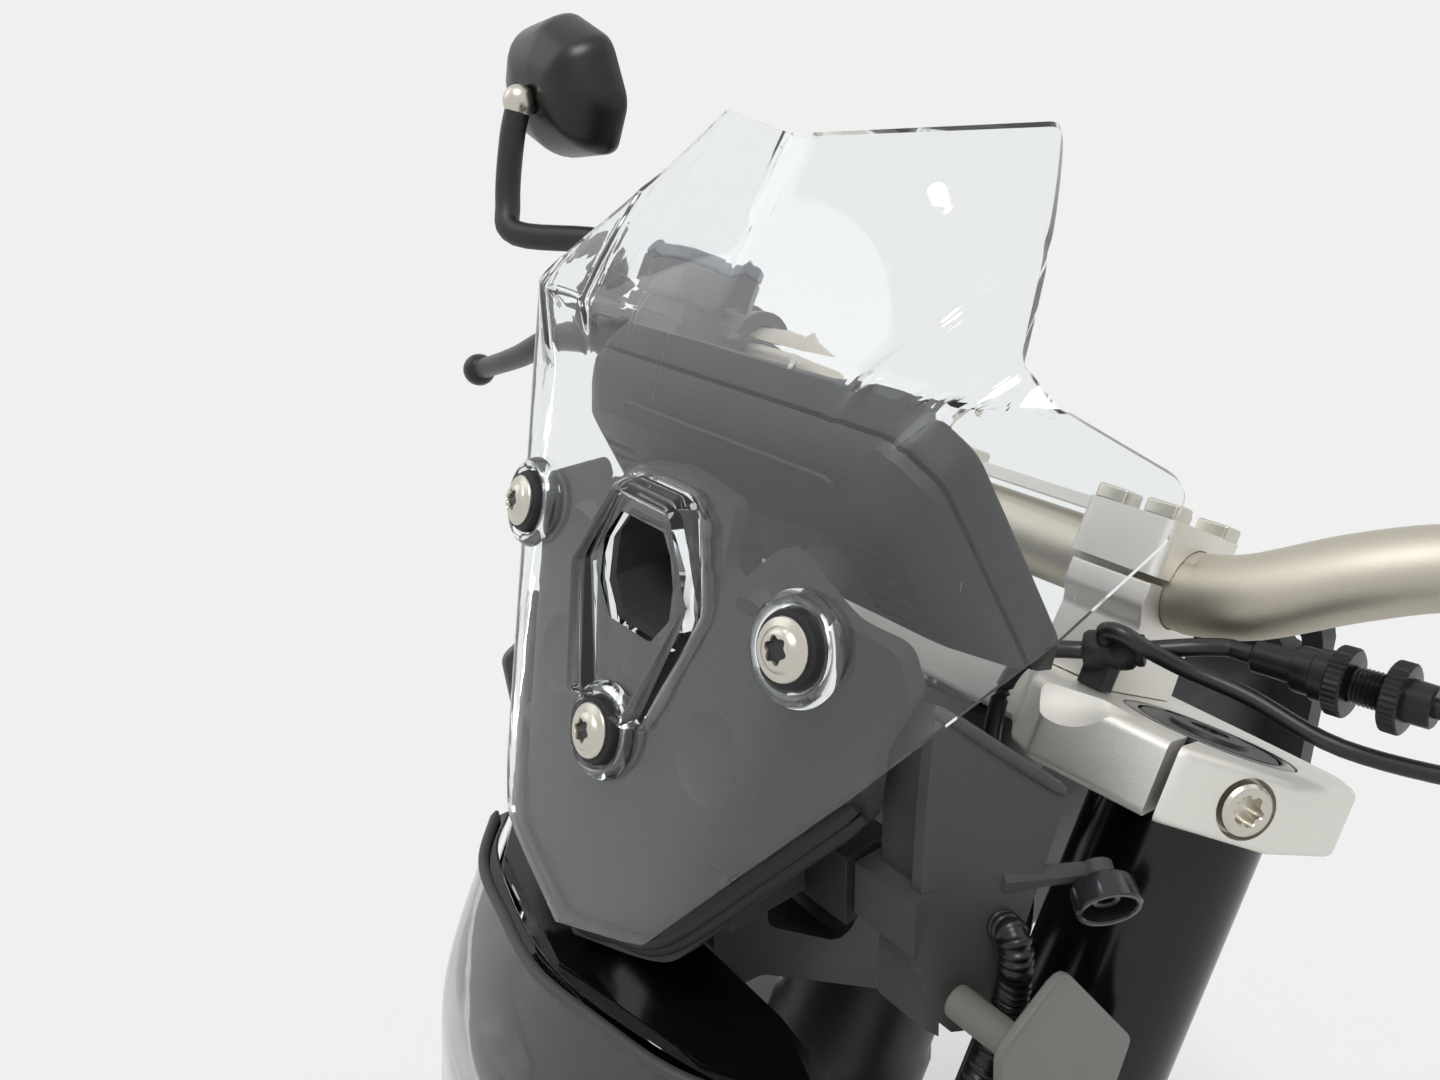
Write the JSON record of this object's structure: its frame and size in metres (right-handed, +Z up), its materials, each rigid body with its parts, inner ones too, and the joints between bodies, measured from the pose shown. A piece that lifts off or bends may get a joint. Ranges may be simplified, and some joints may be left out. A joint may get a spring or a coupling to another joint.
{
  "type": "motorcycle front end with steering, windscreen and headlamp",
  "caption": "Front end of an adventure motorcycle: fork, yokes, handlebar, controls, display, clear windscreen and headlamp on a steering head that bolts on by its rear flange.",
  "frame": {"origin": "middle of the mounting face behind the steering head, where the piece bolts to the frame", "axes": "+Z up with the machine upright on its wheels, +X to the rider's left, the machine faces -Y"},
  "size_m": [0.8546, 0.5589, 0.9014],
  "materials": {
    "yoke_silver": "blasted and clear lacquered cast aluminium",
    "bar_champagne": "champagne anodised, finely blasted",
    "black_cast": "satin black coated casting",
    "black_gloss": "gloss black",
    "lamp_black": "gloss black moulding",
    "steel": "hard chromed and polished steel",
    "rubber": "matt black rubber",
    "dark_plastic": "dark grey fine textured moulding",
    "grey_plastic": "mid grey fine textured moulding",
    "pale_plastic": "light grey moulding",
    "reservoir_grey": "blue-grey satin gloss cover",
    "clear": "clear polycarbonate",
    "screen_glass": "black cover glass of the display, switched off",
    "mirror": "silvered glass"
  },
  "bodies": {
    "frame_side": {"steering_head": "black_cast", "fairing_stay": "black_cast", "windscreen": "clear", "screen_carrier": "dark_plastic", "display_bezel": "dark_plastic", "display_shell": "dark_plastic", "display_glass": "screen_glass", "headlamp_housing": "lamp_black", "headlamp_lens": "clear", "wiring_conduit": "rubber", "inner_panel_left": "grey_plastic", "fairing_tab_left": "pale_plastic", "fastener_cup_left": "dark_plastic", "inner_panel_right": "grey_plastic", "fairing_tab_right": "pale_plastic", "fastener_cup_right": "dark_plastic"},
    "steering_side": {"top_yoke": "yoke_silver", "lower_yoke": "black_cast", "steering_stem": "steel", "stem_nut": "black_cast", "handlebar": "bar_champagne", "bar_clamp": "yoke_silver", "front_axle": "steel", "brake_reservoir": "black_cast", "reservoir_cover": "reservoir_grey", "clutch_cable": "rubber", "cable_adjuster": "dark_plastic", "cable_guide": "rubber", "switch_lead": "rubber", "fork_outer_left": "black_gloss", "fork_cap_left": "black_cast", "stanchion_left": "steel", "axle_foot_left": "black_cast", "bar_riser_left": "yoke_silver", "grip_left": "rubber", "bar_end_left": "black_cast", "switch_housing_left": "dark_plastic", "lever_perch_left": "black_cast", "lever_left": "black_gloss", "mirror_arm_left": "black_cast", "mirror_shell_left": "black_gloss", "mirror_glass_left": "mirror", "fork_outer_right": "black_gloss", "fork_cap_right": "black_cast", "stanchion_right": "steel", "axle_foot_right": "black_cast", "bar_riser_right": "yoke_silver", "grip_right": "rubber", "bar_end_right": "black_cast", "switch_housing_right": "dark_plastic", "lever_perch_right": "black_cast", "lever_right": "black_gloss", "mirror_arm_right": "black_cast", "mirror_shell_right": "black_gloss", "mirror_glass_right": "mirror"}
  },
  "joints": [
    {"name": "steering", "type": "hinge", "parent": "frame_side", "child": "steering_side", "pos_m": [0, -0.17, 0.105], "axis": [0, 0.454, 0.891], "range_deg": [-35, 35]}
  ]
}
